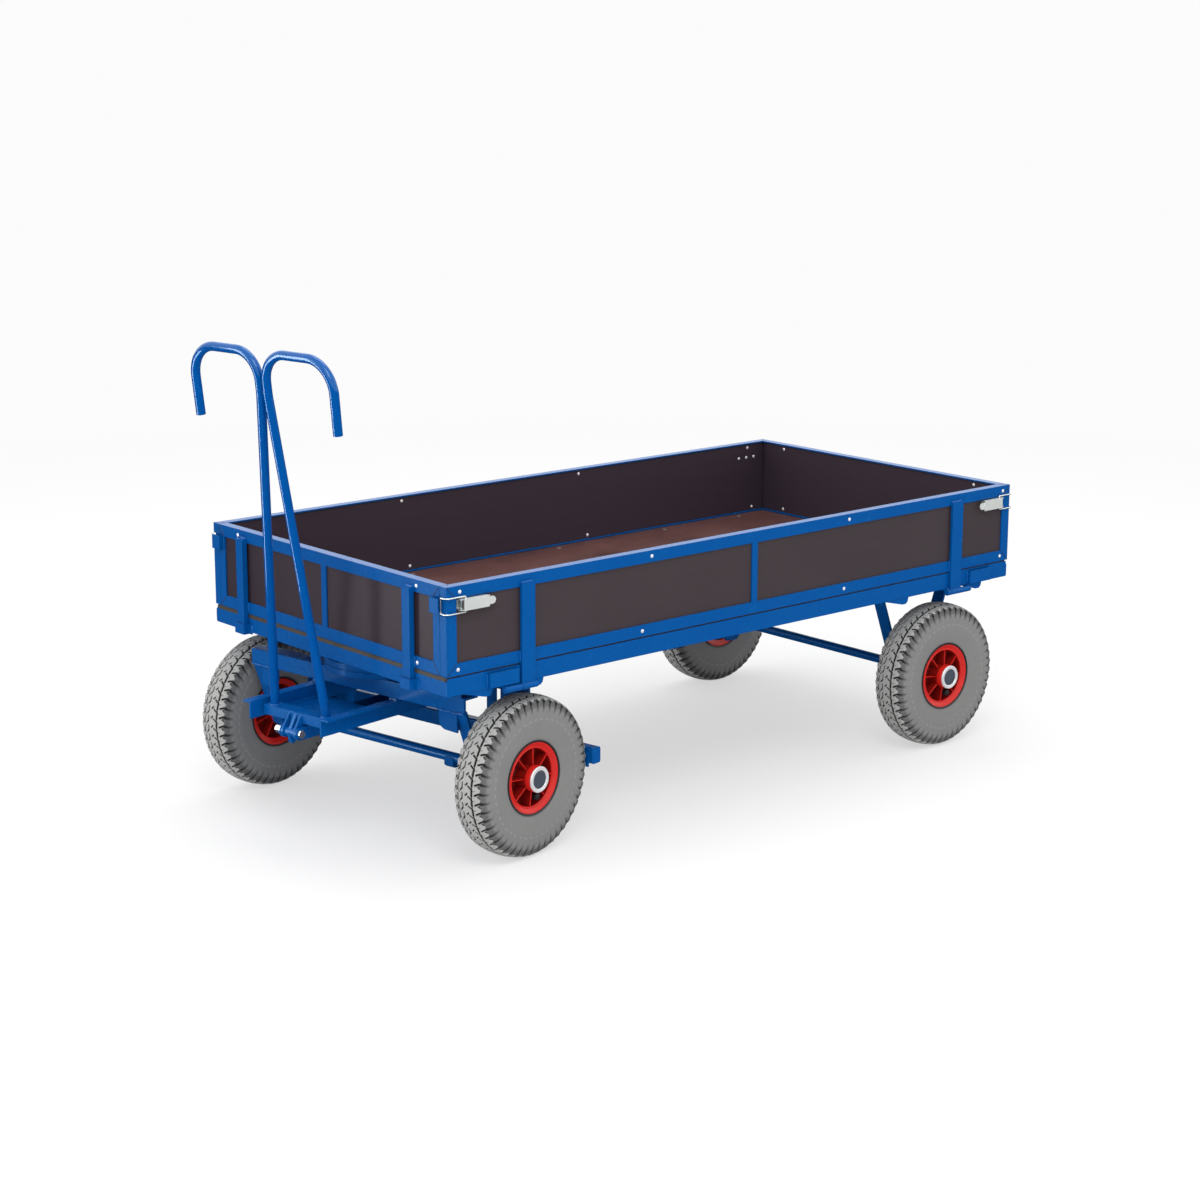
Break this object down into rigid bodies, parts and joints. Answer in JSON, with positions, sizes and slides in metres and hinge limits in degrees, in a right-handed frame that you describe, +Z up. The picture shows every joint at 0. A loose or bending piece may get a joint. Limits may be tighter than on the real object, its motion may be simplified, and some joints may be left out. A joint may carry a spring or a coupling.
{
  "type": "platform trolley",
  "caption": "Turntable-steered platform trolley: drop-side boards with corner latches, upright drawbar with parking brake, solid tyres on plastic rims.",
  "frame": {"origin": "on the floor under the middle of the load platform", "axes": "+Z up, -X towards the drawbar (front), -Y the trolley's left side; the bogie rests turned 8.85 degrees about its kingpin line"},
  "size_m": [2.2477, 1.0498, 1.2394],
  "materials": {
    "paint_blue": "smooth",
    "ply_film": "smooth",
    "deck_film": "smooth",
    "zinc": "satin",
    "bright_steel": "satin",
    "race_steel": "polished",
    "tyre_grey": "matte",
    "rim_red": "smooth",
    "rivet_alloy": "satin"
  },
  "bodies": {
    "platform": {"platform_frame": "paint_blue", "cross_members": "paint_blue", "deck_panel": "deck_film", "deck_screws": "zinc", "stake_pockets": "paint_blue", "turntable_upper_ring": "paint_blue", "turntable_balls": "race_steel", "rear_axle_supports": "paint_blue", "rear_axle": "paint_blue", "rear_axle_caps": "bright_steel", "hinge_pins": "paint_blue"},
    "bogie": {"turntable_lower_ring": "paint_blue", "bogie_frame": "paint_blue", "tow_frame": "paint_blue", "front_axle": "paint_blue", "front_axle_caps": "bright_steel", "drawbar_bolt": "zinc", "drawbar_nuts": "zinc"},
    "drawbar": {"drawbar_tubes": "paint_blue", "drawbar_crosshead": "paint_blue"},
    "brake": {"brake_bar": "paint_blue", "brake_shoes": "paint_blue", "brake_rod": "paint_blue"},
    "wheel_front_left": {"tyre_front_left": "tyre_grey", "rim_front_left": "rim_red", "bearing_front_left": "bright_steel"},
    "wheel_front_right": {"tyre_front_right": "tyre_grey", "rim_front_right": "rim_red", "bearing_front_right": "bright_steel"},
    "wheel_rear_left": {"tyre_rear_left": "tyre_grey", "rim_rear_left": "rim_red", "bearing_rear_left": "bright_steel"},
    "wheel_rear_right": {"tyre_rear_right": "tyre_grey", "rim_rear_right": "rim_red", "bearing_rear_right": "bright_steel"},
    "side_board_left": {"side_board_frame_left": "paint_blue", "side_board_panel_left": "ply_film", "side_board_rivets_left": "rivet_alloy", "latch_bases_left": "zinc"},
    "side_board_right": {"side_board_frame_right": "paint_blue", "side_board_panel_right": "ply_film", "side_board_rivets_right": "rivet_alloy", "latch_bases_right": "zinc"},
    "end_board_front": {"end_board_frame_front": "paint_blue", "end_board_panel_front": "ply_film", "end_board_rivets_front": "rivet_alloy"},
    "end_board_rear": {"end_board_frame_rear": "paint_blue", "end_board_panel_rear": "ply_film", "end_board_rivets_rear": "rivet_alloy"},
    "lever_front_left": {"latch_lever_front_left": "zinc"},
    "loop_front_left": {"latch_loop_front_left": "zinc"},
    "lever_front_right": {"latch_lever_front_right": "zinc"},
    "loop_front_right": {"latch_loop_front_right": "zinc"},
    "lever_rear_left": {"latch_lever_rear_left": "zinc"},
    "loop_rear_left": {"latch_loop_rear_left": "zinc"},
    "lever_rear_right": {"latch_lever_rear_right": "zinc"},
    "loop_rear_right": {"latch_loop_rear_right": "zinc"}
  },
  "joints": [
    {"name": "steer", "type": "hinge", "parent": "platform", "child": "bogie", "pos_m": [-0.801, 0, 0.417], "axis": [0, 0, 1], "range_deg": [-36, 18]},
    {"name": "drawbar_pivot", "type": "hinge", "parent": "bogie", "child": "drawbar", "pos_m": [-1.12707, -0.05077, 0.295], "axis": [0.1538, -0.9881, 0], "range_deg": [0, 95]},
    {"name": "brake_slide", "type": "slide", "parent": "bogie", "child": "brake", "axis": [0.9881, 0.1538, 0], "range_m": [0, 0.012]},
    {"name": "spin_front_left", "type": "hinge", "parent": "bogie", "child": "wheel_front_left", "pos_m": [-0.73177, -0.44464, 0.2], "axis": [-0.1538, 0.9881, 0], "continuous": true},
    {"name": "spin_front_right", "type": "hinge", "parent": "bogie", "child": "wheel_front_right", "pos_m": [-0.87023, 0.44464, 0.2], "axis": [-0.1538, 0.9881, 0], "continuous": true},
    {"name": "spin_rear_left", "type": "hinge", "parent": "platform", "child": "wheel_rear_left", "pos_m": [0.744, -0.45, 0.2], "axis": [0, 1, 0], "continuous": true},
    {"name": "spin_rear_right", "type": "hinge", "parent": "platform", "child": "wheel_rear_right", "pos_m": [0.744, 0.45, 0.2], "axis": [0, 1, 0], "continuous": true},
    {"name": "side_board_hinge_left", "type": "hinge", "parent": "platform", "child": "side_board_left", "pos_m": [0, -0.5, 0.44], "axis": [1, 0, 0], "range_deg": [0, 160]},
    {"name": "side_board_hinge_right", "type": "hinge", "parent": "platform", "child": "side_board_right", "pos_m": [0, 0.5, 0.44], "axis": [-1, 0, 0], "range_deg": [0, 160]},
    {"name": "end_board_lift_front", "type": "slide", "parent": "platform", "child": "end_board_front", "axis": [0, 0, 1], "range_m": [0, 0.22]},
    {"name": "end_board_lift_rear", "type": "slide", "parent": "platform", "child": "end_board_rear", "axis": [0, 0, 1], "range_m": [0, 0.22]},
    {"name": "lever_hinge_front_left", "type": "hinge", "parent": "side_board_left", "child": "lever_front_left", "pos_m": [-0.95, -0.498, 0.666], "axis": [0, 0, -1], "range_deg": [0, 120]},
    {"name": "loop_hinge_front_left", "type": "hinge", "parent": "lever_front_left", "child": "loop_front_left", "pos_m": [-0.938, -0.5, 0.666], "axis": [0, 0, 1], "range_deg": [0, 150]},
    {"name": "lever_hinge_front_right", "type": "hinge", "parent": "side_board_right", "child": "lever_front_right", "pos_m": [-0.95, 0.498, 0.666], "axis": [0, 0, 1], "range_deg": [0, 120]},
    {"name": "loop_hinge_front_right", "type": "hinge", "parent": "lever_front_right", "child": "loop_front_right", "pos_m": [-0.938, 0.5, 0.666], "axis": [0, 0, -1], "range_deg": [0, 150]},
    {"name": "lever_hinge_rear_left", "type": "hinge", "parent": "side_board_left", "child": "lever_rear_left", "pos_m": [0.95, -0.498, 0.666], "axis": [0, 0, 1], "range_deg": [0, 120]},
    {"name": "loop_hinge_rear_left", "type": "hinge", "parent": "lever_rear_left", "child": "loop_rear_left", "pos_m": [0.938, -0.5, 0.666], "axis": [0, 0, -1], "range_deg": [0, 150]},
    {"name": "lever_hinge_rear_right", "type": "hinge", "parent": "side_board_right", "child": "lever_rear_right", "pos_m": [0.95, 0.498, 0.666], "axis": [0, 0, -1], "range_deg": [0, 120]},
    {"name": "loop_hinge_rear_right", "type": "hinge", "parent": "lever_rear_right", "child": "loop_rear_right", "pos_m": [0.938, 0.5, 0.666], "axis": [0, 0, 1], "range_deg": [0, 150]}
  ],
  "couplings": [
    {"joint": "brake_slide", "follows": "drawbar_pivot", "m_per_rad": 0.0072},
    {"joint": "loop_hinge_front_left", "follows": "lever_hinge_front_left", "ratio": 1.25},
    {"joint": "loop_hinge_front_right", "follows": "lever_hinge_front_right", "ratio": 1.25},
    {"joint": "loop_hinge_rear_left", "follows": "lever_hinge_rear_left", "ratio": 1.25},
    {"joint": "loop_hinge_rear_right", "follows": "lever_hinge_rear_right", "ratio": 1.25}
  ]
}
